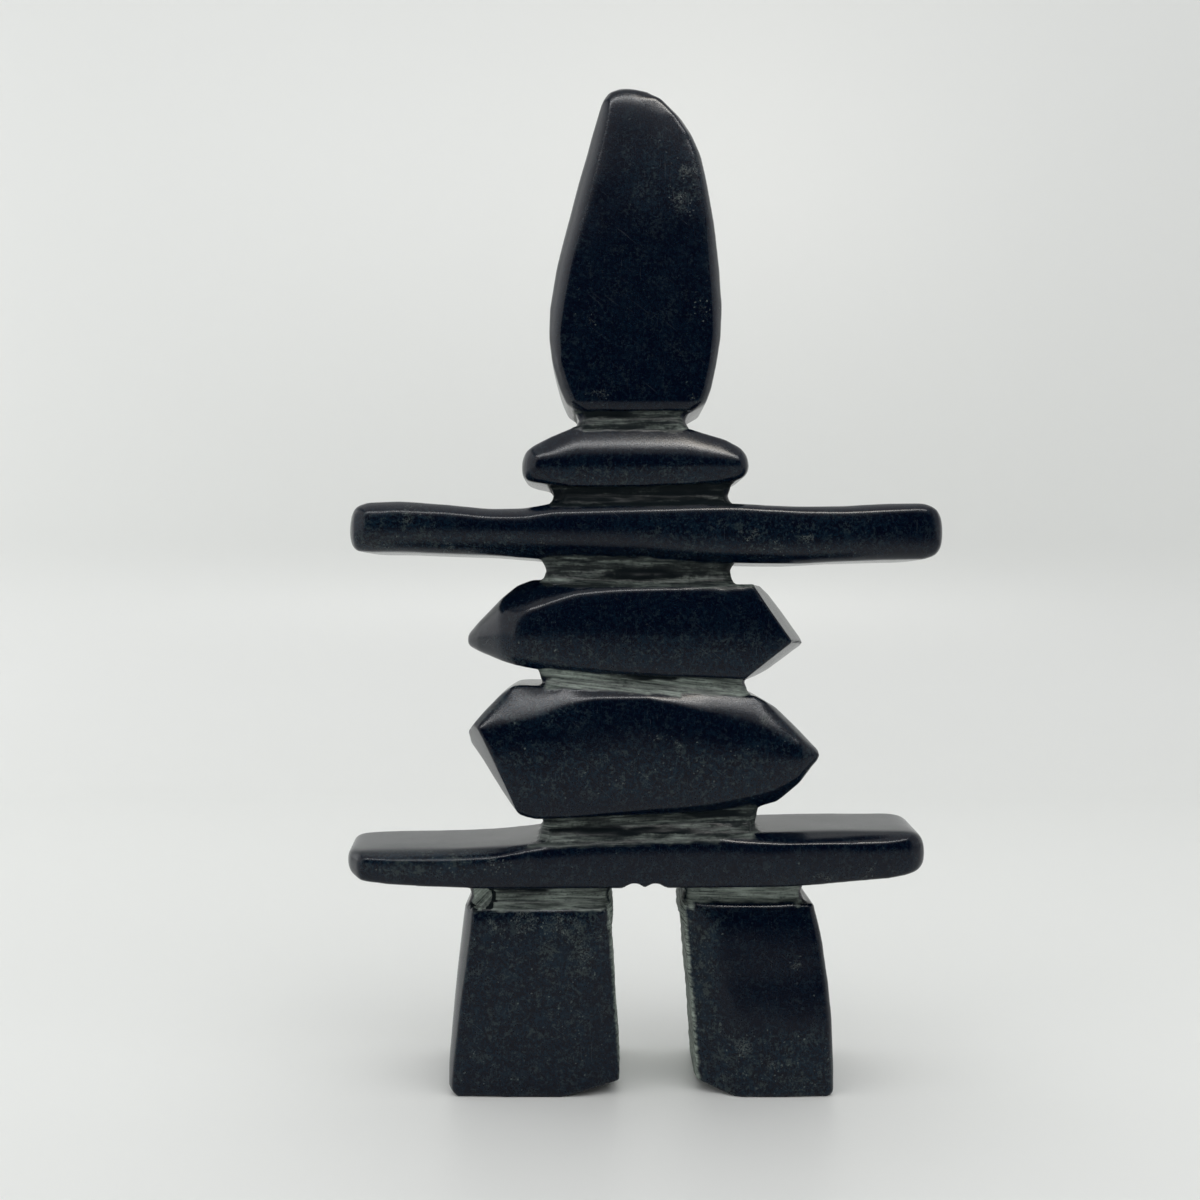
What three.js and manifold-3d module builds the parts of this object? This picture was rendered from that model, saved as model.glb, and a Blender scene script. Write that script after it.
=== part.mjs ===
// Inuit inukshuk: a stone figure carved from one slab of dark polished stone.
// Legs, hip bar, two torso stones, arm bar, neck stone and head are one block, parted by filed
// grooves. Rough necks of the same stone stand at the bottom of the grooves and carry the load.
// Millimetres, +Z up. The figure faces -Y, and the origin is on the floor under its middle.

import * as THREE from 'three';
import { mergeVertices } from 'three/addons/utils/BufferGeometryUtils.js';
import Module from 'manifold-3d';

const wasm = await Module();
wasm.setup();

// The slab and the filed grooves

const slabDepth = 34; // front to back
const legHeight = 44.2; // both legs, so that the hip bar lies on both
const barReach = 143.5; // the arm bar from end to end, and with it the figure's width
const hipShorter = 5.2; // how much less the hip bar reaches
const neckSetBack = 3.8; // from the slab's faces to the necks in the grooves
const neckRoot = 5; // how far a neck runs into the stones above and below it
const neckWaist = 0.9; // how much narrower a neck is halfway up, on each side
const neckWaistDeep = 0.4; // how much shallower a neck is halfway up, on each face
const neckCorner = 2.2; // bevel on a neck's upright edges
const neckBulge = 0.3; // swell of a neck's front and rear face
const neckBow = 0.09; // roundness of its front bevels
const ledgeRoot = 0.6; // how far a filed slope runs down into its stone
const hipGroove = 4.8; // groove heights, taken on the figure's middle line
const torsoHipGroove = 5.5;
const torsoGroove = 3.4;
const armTorsoGroove = 6.1;
const neckArmGroove = 3.9;
const headNeckGroove = 3.9;

const rearBevelWidth = 3.8; // bevel round every rear face
const rearBow = 0.16; // how round it is, as a share of its width
const mostAcross = 0.45; // largest share of a section that one bevel takes, across and deep
const mostDeep = 0.4;

// How finely the curved faces are divided

const longestStep = 9; // between two cross-sections
const faceSteps = 4; // across a front or back face
const bevelSteps = 3; // round a bevelled edge
const roundSteps = 20; // round a file or drill
const pocketSteps = [14, 10]; // round and over the drilled pocket
const weldDistance = 1e-5; // points closer than this are one point

// The stones
// A lying stone is described by cuts from its left end to its right end: share of its width,
// then underside and top as shares of its height. A standing stone is described by cuts from its
// foot to its crown: share of its height, then left and right side as shares of its width.
// A setBack says how far the front or rear face stands behind the slab's face, and a bevel says
// how wide the bevel under or beside the front face's edge is, both in millimetres along the stone.
// A run says how deep that bevel goes, as a share of its width, and a bow how round it is.

const leftLeg = {
  left: -48,
  wide: 41.4,
  tall: legHeight,
  cuts: [
    [0, 0.04, 0.97], [0.034, 0.01, 0.995], [0.14, 0.002, 1], [0.41, 0.027, 0.98],
    [0.75, 0.058, 0.96], [0.94, 0.083, 0.945], [0.985, 0.093, 0.942], [1, 0.11, 0.935],
  ],
  frontSetBack: [[0, 0.4], [0.012, 0.1], [0.12, 0], [0.5, 0.2], [0.97, 1.2], [1, 1.9]],
  rearSetBack: [[0, 1.4], [0.04, 0.3], [0.15, 0], [0.9, 0.4], [1, 1.8]],
  lowBevel: [[0, 1.3], [0.1, 1.9], [0.5, 2.4], [0.9, 3.1], [1, 2.4]],
  highBevel: [[0, 1.4], [0.1, 1.7], [1, 1.5]],
  lowRun: [[0, 2.2], [0.1, 3], [0.9, 2.8]],
  highRun: [[0, 1.1]],
  bow: 0.09,
  bulge: 0.5,
  facets: [
    { at: [0.76, -1, 0.5], facing: [0.26, -0.965, 0.015] }, // soft inner chamfer
    { at: [0.66, -1, 0], facing: [0.26, -0.2, -0.945] }, // worn inner front of the foot
  ],
};

const rightLeg = {
  left: 8.9,
  wide: 35.6,
  tall: legHeight,
  cuts: [
    [0, 0.09, 0.98], [0.023, 0.083, 1], [0.15, 0.078, 1], [0.4, 0.057, 0.993],
    [0.6, 0.034, 0.975], [0.8, 0.014, 0.945], [0.93, 0.004, 0.91], [1, 0, 0.885],
  ],
  frontSetBack: [[0, 0.4], [0.012, 0.1], [0.1, 0], [0.3, 0.8], [0.6, 2.8], [0.97, 5], [1, 5.6]],
  rearSetBack: [[0, 1.4], [0.04, 0.3], [0.15, 0], [0.9, 0.4], [1, 1.8]],
  lowBevel: [[0, 1.2], [1, 1]],
  highBevel: [[0, 1.2], [0.1, 1.4], [0.9, 1.5], [1, 1.2]],
  lowRun: [[0, 1.3]],
  highRun: [[0, 1.3]],
  bow: 0.09,
  bulge: 0.5,
  facets: [
    { at: [0.178, -0.735, 0.815], facing: [-0.3, -0.952, 0.055] }, // soft inner chamfer
    { at: [0.34, -1, 0], facing: [-0.38, -0.2, -0.9] }, // worn inner front of the foot
  ],
};

const hip = {
  left: -71.9,
  wide: barReach - hipShorter,
  tall: 12.1,
  cuts: [
    [0, 0.3, 0.61], [0.006, 0.2, 0.69], [0.024, 0.12, 0.715], [0.088, 0.06, 0.735],
    [0.188, 0.01, 0.75], [0.253, -0.02, 0.79], [0.317, -0.02, 0.87], [0.41, -0.01, 0.96],
    [0.518, 0, 1], [0.639, 0.01, 1.05], [0.761, 0.03, 1.08], [0.861, 0.12, 1.1],
    [0.933, 0.2, 1.1], [0.972, 0.26, 1.11], [0.988, 0.31, 1.06], [0.997, 0.4, 0.94],
    [1, 0.48, 0.8],
  ],
  skew: [[0, -0.11], [0.1, -0.05], [0.3, 0], [0.85, 0], [0.95, 0.04], [1, 0.09]],
  frontSetBack: [
    [0, 8.5], [0.007, 5.2], [0.017, 2.4], [0.03, 0.9], [0.05, 0.3], [0.08, 0], [0.93, 0.2],
    [0.98, 1.4], [1, 4.5],
  ],
  rearSetBack: [[0, 4], [0.01, 2.6], [0.04, 1.7], [0.1, 1.4], [0.95, 1.2], [0.985, 1.6], [1, 3]],
  lowBevel: [[0, 2], [0.05, 4], [0.3, 4.2], [0.6, 3.6], [0.9, 3.6], [1, 1]],
  highBevel: [
    [0, 0.9], [0.05, 1.5], [0.25, 1.8], [0.34, 1.3], [0.5, 1.1], [0.66, 1.3], [0.74, 2.1],
    [0.9, 2.2], [1, 0.9],
  ],
  lowRun: [[0, 0.45]],
  highRun: [[0, 1.2], [0.05, 2.4], [0.25, 2.2], [0.34, 1], [0.66, 1], [0.74, 2.2], [1, 1.4]],
  bow: 0.09,
  bulge: 0.4,
  facets: [],
};

const lowerTorso = {
  left: -43.9,
  wide: 85,
  tall: 29.6,
  cuts: [
    [0, 0.53, 0.63], [0.048, 0.383, 0.8], [0.1035, 0.163, 0.965], [0.1365, 0.05, 1.025],
    [0.16, -0.01, 1.035], [0.199, -0.04, 1.03], [0.375, -0.02, 1.02], [0.517, 0, 1.005],
    [0.693, 0.02, 0.985], [0.822, 0.035, 0.95], [0.886, 0.08, 0.85], [0.946, 0.235, 0.68],
    [1, 0.44, 0.51],
  ],
  frontSetBack: [[0, 1.2], [0.05, 0.7], [0.13, 0.3], [0.26, 0], [0.88, 0.3], [0.965, 0.9], [1, 2.6]],
  rearSetBack: [[0, 8], [0.06, 3.2], [0.16, 0.8], [0.3, 0], [0.8, 0.4], [0.94, 3], [1, 8]],
  lowBevel: [
    [0, 1], [0.16, 1.2], [0.3, 0.9], [0.47, 1.8], [0.635, 2.1], [0.78, 3.5], [0.86, 4.6],
    [0.91, 4.4], [0.96, 2], [1, 0.8],
  ],
  highBevel: [
    [0, 1], [0.045, 3], [0.073, 5.2], [0.12, 8], [0.17, 8.3], [0.264, 5.4], [0.3, 4.2],
    [0.355, 2.8], [0.41, 2.1], [0.46, 1.7], [0.52, 1.9], [0.6, 3.4], [0.7, 5], [0.79, 6.8],
    [0.865, 6.4], [0.92, 4.4], [1, 0.8],
  ],
  lowRun: [[0, 1]],
  highRun: [
    [0, 0.7], [0.06, 0.52], [0.3, 0.55], [0.41, 1], [0.52, 1], [0.6, 0.6], [0.79, 0.45],
    [1, 0.8],
  ],
  bow: 0.02,
  bulge: 0.7,
  facets: [
    { at: [0.11, -0.976, 0.314], facing: [-0.85, -0.327, -0.406] }, // under the left point
    { at: [0.052, -0.953, 0.7145], facing: [-0.6, -0.43, 0.68] }, // over the left point
    { at: [0.9095, -0.812, 0.73], facing: [0.66, -0.28, 0.7] }, // over the right point
  ],
};

const upperTorso = {
  left: -44.7,
  wide: 83.9,
  tall: 21.9,
  cuts: [
    [0, 0.3, 0.43], [0.038, 0.237, 0.58], [0.1144, 0.143, 0.86], [0.154, 0.105, 0.99],
    [0.203, 0.07, 1.06], [0.329, 0.045, 1.02], [0.533, 0, 1], [0.76, -0.035, 1],
    [0.838, -0.044, 1], [0.8675, -0.017, 0.987], [0.901, 0.033, 0.896], [0.945, 0.145, 0.693],
    [1, 0.31, 0.4],
  ],
  frontSetBack: [
    [0, 17.5], [0.034, 12.5], [0.08, 6.8], [0.12, 3.6], [0.152, 2], [0.2, 1], [0.27, 0.5],
    [0.5, 0.4], [0.86, 0.6], [1, 0.9],
  ],
  rearSetBack: [[0, 9], [0.09, 3], [0.2, 1.2], [0.5, 0.8], [0.82, 1.4], [0.94, 3.4], [1, 8]],
  lowBevel: [[0, 0.8], [0.12, 3], [0.24, 2.8], [0.4, 1.5], [0.6, 1], [0.78, 1.1], [1, 0.7]],
  highBevel: [
    [0, 0.8], [0.09, 2.2], [0.13, 4.6], [0.17, 8], [0.27, 4.2], [0.36, 2.4], [0.5, 1.3],
    [0.7, 1], [0.85, 1], [1, 0.7],
  ],
  lowRun: [[0, 1]],
  highRun: [[0, 1], [0.1, 1.1], [0.3, 1.2], [0.5, 1.2], [0.8, 1]],
  bow: 0.08,
  bulge: 0.7,
  facets: [
    { at: [0.943, -0.924, 0.374], facing: [0.8, -0.225, 0.56] }, // over the right point
    { at: [0.943, -0.924, 0.374], facing: [0.6, -0.225, -0.77] }, // under the right point
  ],
};

const arm = {
  left: -72.2,
  wide: barReach,
  tall: 13.3,
  cuts: [
    [0, 0.34, 0.62], [0.005, 0.22, 0.84], [0.014, 0.145, 0.95], [0.034, 0.12, 1.02],
    [0.088, 0.12, 1.04],
    [0.172, 0.09, 0.975], [0.241, 0.065, 0.905], [0.297, 0.015, 0.915], [0.346, -0.02, 1],
    [0.5, -0.02, 1.01], [0.653, -0.08, 0.99], [0.751, -0.1, 0.945], [0.828, -0.055, 0.955],
    [0.904, -0.03, 1], [0.967, -0.02, 1], [0.987, 0.05, 0.91], [0.997, 0.18, 0.76],
    [1, 0.36, 0.58],
  ],
  frontSetBack: [
    [0, 8], [0.006, 4.8], [0.014, 2.5], [0.028, 1.2], [0.06, 0.5], [0.95, 0.5], [0.985, 1.4],
    [0.995, 2.8], [1, 5.5],
  ],
  rearSetBack: [[0, 4.6], [0.01, 2.6], [0.04, 1.4], [0.1, 1], [0.92, 1], [0.985, 2.6], [1, 5]],
  lowBevel: [[0, 1.6], [0.03, 3], [0.2, 4], [0.33, 4.8], [0.47, 4.3], [0.6, 3], [0.95, 2.8], [1, 1]],
  highBevel: [[0, 1.6], [0.05, 2.6], [0.2, 2.1], [0.33, 2.4], [0.5, 2], [0.68, 1.3], [0.9, 1.9], [1, 1]],
  lowRun: [[0, 1.3]],
  highRun: [[0, 1.3]],
  bow: 0.08,
  bulge: 0.4,
  facets: [],
};

const neckStone = {
  left: -30.4,
  wide: 55,
  tall: 14.3,
  cuts: [
    [0, 0.2, 0.5], [0.018, 0.12, 0.63], [0.053, 0.08, 0.71], [0.131, 0.04, 0.85],
    [0.236, 0, 1.015], [0.4, 0, 1.02], [0.724, 0.04, 1], [0.891, 0.085, 0.8],
    [0.964, 0.13, 0.66], [0.993, 0.22, 0.54], [1, 0.3, 0.45],
  ],
  frontSetBack: [
    [0, 7], [0.018, 4.2], [0.05, 2.2], [0.09, 1.5], [0.2, 1.1], [0.95, 1.2], [0.985, 2.4], [1, 5],
  ],
  rearSetBack: [[0, 7], [0.08, 3.2], [0.2, 2], [0.9, 2], [0.97, 3.4], [1, 7]],
  lowBevel: [[0, 0.8], [0.13, 3], [0.9, 3.2], [1, 0.8]],
  highBevel: [
    [0, 1.4], [0.05, 2.6], [0.12, 4.4], [0.25, 6.2], [0.5, 6.2], [0.75, 5.7], [0.9, 4], [0.96, 2.6],
    [1, 1],
  ],
  lowRun: [[0, 1], [0.1, 0.32], [0.92, 0.32], [1, 1]],
  highRun: [[0, 1.2], [0.12, 0.65], [0.25, 0.5], [0.75, 0.5], [0.92, 0.6], [1, 1.2]],
  bow: 0.04,
  bulge: 0.4,
  facets: [],
};

const head = {
  left: -23.8,
  wide: 42,
  tall: 77.5,
  cuts: [
    [0, 0.18, 0.83], [0.022, 0.105, 0.903], [0.071, 0.064, 0.937], [0.148, 0.023, 0.967],
    [0.239, 0.002, 0.992], [0.329, 0.007, 1], [0.458, 0.047, 0.984], [0.587, 0.107, 0.953],
    [0.716, 0.171, 0.91], [0.794, 0.213, 0.877], [0.858, 0.246, 0.826], [0.91, 0.275, 0.763],
    [0.961, 0.307, 0.664], [0.987, 0.338, 0.581], [1, 0.388, 0.495],
  ],
  frontSetBack: [[0, 2.4], [0.02, 1.5], [0.5, 1.5], [0.9, 1.8], [0.955, 2.1], [0.985, 2.8], [1, 4]],
  rearSetBack: [[0, 3], [0.03, 1.8], [0.3, 1.8], [0.7, 3.6], [0.9, 5.4], [0.97, 7.5], [1, 11]],
  lowBevel: [[0, 1.6], [0.03, 2.4], [0.15, 2.1], [0.33, 3.4], [0.66, 3.8], [0.88, 3.2], [1, 1]],
  highBevel: [[0, 1.4], [0.03, 2], [0.15, 1.9], [0.4, 2.9], [0.66, 1.9], [0.9, 1.9], [1, 0.8]],
  lowRun: [[0, 1.5]],
  highRun: [[0, 1.5]],
  bow: 0.09,
  bulge: 0.5,
  facets: [
    { at: [0.36, -0.8, 0.985], facing: [-0.62, -0.55, 0.56] }, // bright facet left of the crown
  ],
};

// Left and right side of the rough neck in the groove under each stone, and how much deeper than
// the others its front lies. The ledge is the slope that the file left in front of it, on the
// stone below: its rise up the neck, and its reach towards the stone's front edge.

const necks = {
  leftLeg: { left: -43.3, right: -8.2, deeper: 0.5, ledge: { rise: 0.9, reach: 1.9 } },
  rightLeg: { left: 8.4, right: 38.6, deeper: 3, ledge: { rise: 0.9, reach: 1 } },
  hip: { left: -25.9, right: 26.9, deeper: 0, ledge: { rise: 2.4, reach: 2.1 } },
  torso: { left: -26, right: 24.4, deeper: 0, ledge: { rise: 1.2, reach: 1.6 } },
  arm: { left: -25.3, right: 21.2, deeper: 1.6, ledge: { rise: 0.4, reach: 1.2 } },
  neckStone: { left: -23.3, right: 20.4, deeper: 0, ledge: { rise: 1.4, reach: 1.2 } },
  head: { left: -17.3, right: 10.2, deeper: 0, ledge: { rise: 1.6, reach: 1.2 } },
};

// Marks left by the files and the drill

const scallopRadius = 3; // round-file cuts under the hip bar, at the top of the gap
const scallopRise = 1.3; // how far they reach up into the hip bar
const scallopPlaces = [-3.1, 1.9];
const pocketRadius = 2.2; // drilled pocket at the left of the groove under the neck stone
const pocketInset = 1.3; // from the neck's left side to the pocket's centre
const pocketDrop = 2.1; // from the neck stone's underside down to the pocket's centre
const burrRadius = 3.1; // round end of a file cut at the left of the left leg's groove
const burrRootRadius = 2.5; // the same at its bottom
const burrDepth = 0.9;
const burrInset = 3.3; // from the neck's left side to the burr's centre

// Levels of the stones' undersides, from the floor up

const level = { leg: 0 };
level.hip = level.leg + legHeight + hipGroove;
level.lowerTorso = level.hip + hip.tall + torsoHipGroove;
level.upperTorso = level.lowerTorso + lowerTorso.tall + torsoGroove;
level.arm = level.upperTorso + upperTorso.tall + armTorsoGroove;
level.neckStone = level.arm + arm.tall + neckArmGroove;
level.head = level.neckStone + neckStone.tall + headNeckGroove;

// Smooth value along a list of [place, value] keys, without overshoot

function valueAt(keys, place, column = 1) {
  const last = keys.length - 1;
  if (place <= keys[0][0]) return keys[0][column];
  if (place >= keys[last][0]) return keys[last][column];
  let k = 0;
  while (place > keys[k + 1][0]) k += 1;
  const slope = (i) => (keys[i + 1][column] - keys[i][column]) / (keys[i + 1][0] - keys[i][0]);
  const tangent = (i) => {
    if (i === 0) return slope(0);
    if (i === last) return slope(last - 1);
    const before = slope(i - 1);
    const after = slope(i);
    return before * after > 0 ? (2 * before * after) / (before + after) : 0;
  };
  const span = keys[k + 1][0] - keys[k][0];
  const t = (place - keys[k][0]) / span;
  const start = keys[k][column];
  const rise = keys[k + 1][column] - start;
  const pullIn = t * (1 - t) * (1 - t) * span * tangent(k);
  const pullOut = t * t * (1 - t) * span * tangent(k + 1);
  return start + rise * t * t * (3 - 2 * t) + pullIn - pullOut;
}

// Places of the cross-sections: at every cut, and evenly between cuts that are far apart

function sectionPlaces(cuts, length) {
  const places = [];
  cuts.slice(1).forEach(([end], i) => {
    const start = cuts[i][0];
    const steps = Math.max(1, Math.round(((end - start) * length) / longestStep));
    for (let s = 0; s < steps; s += 1) places.push(start + ((end - start) * s) / steps);
  });
  places.push(cuts[cuts.length - 1][0]);
  return places;
}

// One cross-section, counter-clockwise: u runs from the low to the high side, v from front to rear.
// Each corner is a bevel, slightly rounded, and the front and rear faces bulge a little.

function crossSection({ low, high, front, rear, bulge, ...edges }) {
  const { lowBevel, highBevel, rearBevel, lowRun, highRun, frontBow } = edges;
  const across = high - low;
  const deep = rear - front;
  const widest = across * mostAcross;
  const deepest = deep * mostDeep;
  const corner = (width, depth) => [Math.min(width, widest), Math.min(depth, deepest)];
  const [lowAcross, lowDeep] = corner(lowBevel, lowBevel * lowRun);
  const [highAcross, highDeep] = corner(highBevel, highBevel * highRun);
  const [rearAcross, rearDeep] = corner(rearBevel, rearBevel);
  const points = [];
  const face = (from, to, plane, inward) => {
    for (let i = 0; i <= faceSteps; i += 1) {
      const t = i / faceSteps;
      const offCentre = 2 * t - 1;
      points.push([from + (to - from) * t, plane + inward * bulge * offCentre * offCentre]);
    }
  };
  const bevel = ([fromU, fromV], [toU, toV], bow) => {
    for (let i = 1; i < bevelSteps; i += 1) {
      const t = i / bevelSteps;
      const out = Math.sin(Math.PI * t) * bow;
      const u = fromU + (toU - fromU) * t + Math.sign(toU + fromU - low - high) * out;
      const v = fromV + (toV - fromV) * t + Math.sign(toV + fromV - front - rear) * out;
      points.push([u, v]);
    }
  };
  const frontEdge = front + bulge;
  const rearEdge = rear - bulge;
  face(low + lowAcross, high - highAcross, front, 1);
  bevel([high - highAcross, frontEdge], [high, frontEdge + highDeep], highAcross * frontBow);
  points.push([high, frontEdge + highDeep], [high, rearEdge - rearDeep]);
  bevel([high, rearEdge - rearDeep], [high - rearAcross, rearEdge], rearAcross * rearBow);
  face(high - rearAcross, low + rearAcross, rear, -1);
  bevel([low + rearAcross, rearEdge], [low, rearEdge - rearDeep], rearAcross * rearBow);
  points.push([low, rearEdge - rearDeep], [low, frontEdge + lowDeep]);
  bevel([low, frontEdge + lowDeep], [low + lowAcross, frontEdge], lowAcross * frontBow);
  return points;
}

// A closed solid through equal rings of points, capped at both ends

function loft(rings) {
  const count = rings[0].length;
  const centre = (ring) => ring.reduce((sum, point) => sum.add(point), new THREE.Vector3());
  const points = rings.flat();
  const firstCap = points.push(centre(rings[0]).divideScalar(count)) - 1;
  const lastCap = points.push(centre(rings[rings.length - 1]).divideScalar(count)) - 1;
  const lastRing = (rings.length - 1) * count;
  const index = [];
  for (let i = 0; i < count; i += 1) {
    const next = (i + 1) % count;
    for (let start = 0; start < lastRing; start += count) {
      const above = start + count;
      index.push(start + i, start + next, above + next);
      index.push(start + i, above + next, above + i);
    }
    index.push(firstCap, next, i);
    index.push(lastCap, lastRing + i, lastRing + next);
  }
  const geometry = new THREE.BufferGeometry().setFromPoints(points);
  geometry.setIndex(index);
  return toSolid(geometry);
}

// Between three.js geometry and solids that can be joined and cut

function toSolid(geometry) {
  const bare = geometry.clone();
  bare.deleteAttribute('normal');
  bare.deleteAttribute('uv');
  const merged = mergeVertices(bare, weldDistance);
  const vertProperties = new Float32Array(merged.attributes.position.array);
  const triVerts = new Uint32Array(merged.index.array);
  return new wasm.Manifold(new wasm.Mesh({ numProp: 3, vertProperties, triVerts }));
}

function toGeometry(solid) {
  const mesh = solid.getMesh();
  const geometry = new THREE.BufferGeometry();
  geometry.setAttribute('position', new THREE.BufferAttribute(mesh.vertProperties, 3));
  geometry.setIndex(new THREE.BufferAttribute(mesh.triVerts, 1));
  const flat = geometry.toNonIndexed();
  flat.computeVertexNormals();
  return flat;
}

// Everything on the outer side of a plane is filed away

function fileFlat(solid, place, facing) {
  const reach = 4 * slabDepth;
  const outward = new THREE.Vector3(...facing).normalize();
  const waste = new THREE.BoxGeometry(reach, reach, reach);
  waste.translate(0, 0, reach / 2);
  const turn = new THREE.Quaternion().setFromUnitVectors(new THREE.Vector3(0, 0, 1), outward);
  waste.applyQuaternion(turn);
  waste.translate(place.x, place.y, place.z);
  return solid.subtract(toSolid(waste));
}

// Sizes of a stone's cross-section at a share of its length

function edgesAt(stone, place) {
  return {
    front: -slabDepth / 2 + valueAt(stone.frontSetBack, place),
    rear: slabDepth / 2 - valueAt(stone.rearSetBack, place),
    lowBevel: valueAt(stone.lowBevel, place),
    highBevel: valueAt(stone.highBevel, place),
    rearBevel: rearBevelWidth,
    lowRun: valueAt(stone.lowRun, place),
    highRun: valueAt(stone.highRun, place),
    frontBow: stone.bow,
    bulge: stone.bulge,
  };
}

function fileFacets(stone, solid, base) {
  return stone.facets.reduce((rest, { at, facing }) => {
    const x = stone.left + at[0] * stone.wide;
    const y = (at[1] * slabDepth) / 2;
    const z = base + at[2] * stone.tall;
    return fileFlat(rest, new THREE.Vector3(x, y, z), facing);
  }, solid);
}

// A stone that lies across the figure, such as the arm bar

function lyingStone(stone, base) {
  const rings = sectionPlaces(stone.cuts, stone.wide).map((place) => {
    const low = base + valueAt(stone.cuts, place, 1) * stone.tall;
    const high = base + valueAt(stone.cuts, place, 2) * stone.tall;
    const x = stone.left + place * stone.wide;
    const skew = stone.skew ? valueAt(stone.skew, place) : 0;
    const section = crossSection({ low, high, ...edgesAt(stone, place) });
    const corner = ([z, y]) => new THREE.Vector3(x + skew * (y + slabDepth / 2), y, z);
    return section.map(corner).reverse();
  });
  return fileFacets(stone, loft(rings), base);
}

// A stone that stands up, such as the head or a leg

function standingStone(stone, base) {
  const rings = sectionPlaces(stone.cuts, stone.tall).map((place) => {
    const low = stone.left + valueAt(stone.cuts, place, 1) * stone.wide;
    const high = stone.left + valueAt(stone.cuts, place, 2) * stone.wide;
    const z = base + place * stone.tall;
    const section = crossSection({ low, high, ...edgesAt(stone, place) });
    return section.map(([x, y]) => new THREE.Vector3(x, y, z));
  });
  return fileFacets(stone, loft(rings), base);
}

// The rough neck in a groove, narrower halfway up, from the stone below into the stone above

function neckFront(deeper) {
  return -slabDepth / 2 + neckSetBack + deeper;
}

function neck({ left, right, deeper }, bottom, top) {
  const middle = (bottom + top) / 2;
  const rows = [
    [bottom - neckRoot, 0], [bottom, 0], [middle, 1], [top, 0], [top + neckRoot, 0],
  ];
  const rings = rows.map(([z, waist]) => {
    const section = crossSection({
      low: left + waist * neckWaist,
      high: right - waist * neckWaist,
      front: neckFront(deeper) + waist * neckWaistDeep,
      rear: slabDepth / 2 - neckSetBack - waist * neckWaistDeep,
      lowBevel: neckCorner,
      highBevel: neckCorner,
      rearBevel: neckCorner,
      lowRun: 1,
      highRun: 1,
      frontBow: neckBow,
      bulge: neckBulge,
    });
    return section.map(([x, y]) => new THREE.Vector3(x, y, z));
  });
  return loft(rings);
}

// Height of a stone's top at x, and where the front edge of that top is

function lyingRim(stone, base) {
  return (x) => {
    const place = (x - stone.left) / stone.wide;
    const { front, bulge, highBevel, highRun } = edgesAt(stone, place);
    const top = base + valueAt(stone.cuts, place, 2) * stone.tall;
    return { top, rim: front + bulge + highBevel * highRun };
  };
}

function standingRim(stone, base) {
  const { front, bulge } = edgesAt(stone, 1);
  return () => ({ top: base + stone.tall, rim: front + bulge });
}

// The slope that the file left on a stone's top, from near its front edge up to the neck

function slope({ left, right, deeper, ledge }, rimAt) {
  const rear = neckFront(deeper) + neckCorner;
  const start = left + neckCorner;
  const length = right - left - 2 * neckCorner;
  const steps = Math.round(length / longestStep);
  const rings = Array.from({ length: steps + 1 }, (_, i) => {
    const x = start + (length * i) / steps;
    const { top, rim } = rimAt(x);
    const foot = Math.min(Math.max(neckFront(deeper) - ledge.reach, rim), neckFront(deeper));
    const section = [
      [top - ledgeRoot, foot], [top, foot], [top + ledge.rise, neckFront(deeper)],
      [top + ledge.rise, rear], [top - ledgeRoot, rear],
    ];
    return section.map(([z, y]) => new THREE.Vector3(x, y, z)).reverse();
  });
  return loft(rings);
}

// Marks of the round file and the drill

function scallop(x) {
  const file = new THREE.CylinderGeometry(scallopRadius, scallopRadius, 2 * slabDepth, roundSteps);
  file.translate(x, 0, level.hip + scallopRise - scallopRadius);
  return toSolid(file);
}

function pocket() {
  const drill = new THREE.SphereGeometry(pocketRadius, ...pocketSteps);
  const x = necks.neckStone.left + pocketInset;
  const y = neckFront(necks.neckStone.deeper) + neckWaistDeep;
  drill.translate(x, y, level.neckStone - pocketDrop);
  return toSolid(drill);
}

function burr() {
  const cut = new THREE.CylinderGeometry(burrRadius, burrRootRadius, 2 * burrDepth, roundSteps);
  const x = necks.leftLeg.left + burrInset;
  cut.translate(x, neckFront(necks.leftLeg.deeper), level.hip - hipGroove / 2);
  return toSolid(cut);
}

// The whole figure in one piece

function figure() {
  const stones = [
    standingStone(leftLeg, level.leg),
    standingStone(rightLeg, level.leg),
    lyingStone(hip, level.hip),
    lyingStone(lowerTorso, level.lowerTorso),
    lyingStone(upperTorso, level.upperTorso),
    lyingStone(arm, level.arm),
    lyingStone(neckStone, level.neckStone),
    standingStone(head, level.head),
  ];
  const joints = [
    neck(necks.leftLeg, level.hip - hipGroove, level.hip),
    neck(necks.rightLeg, level.hip - hipGroove, level.hip),
    neck(necks.hip, level.lowerTorso - torsoHipGroove, level.lowerTorso),
    neck(necks.torso, level.upperTorso - torsoGroove, level.upperTorso),
    neck(necks.arm, level.arm - armTorsoGroove, level.arm),
    neck(necks.neckStone, level.neckStone - neckArmGroove, level.neckStone),
    neck(necks.head, level.head - headNeckGroove, level.head),
  ];
  const slopes = [
    slope(necks.leftLeg, standingRim(leftLeg, level.leg)),
    slope(necks.rightLeg, standingRim(rightLeg, level.leg)),
    slope(necks.hip, lyingRim(hip, level.hip)),
    slope(necks.torso, lyingRim(lowerTorso, level.lowerTorso)),
    slope(necks.arm, lyingRim(upperTorso, level.upperTorso)),
    slope(necks.neckStone, lyingRim(arm, level.arm)),
    slope(necks.head, lyingRim(neckStone, level.neckStone)),
  ];
  const marks = [...scallopPlaces.map(scallop), pocket(), burr()];
  const whole = [...stones, ...joints, ...slopes].reduce((sum, piece) => sum.add(piece));
  return marks.reduce((rest, mark) => rest.subtract(mark), whole);
}

const stoneColour = [0.01, 0.016, 0.022];
const stoneRoughness = 0.32;

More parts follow.
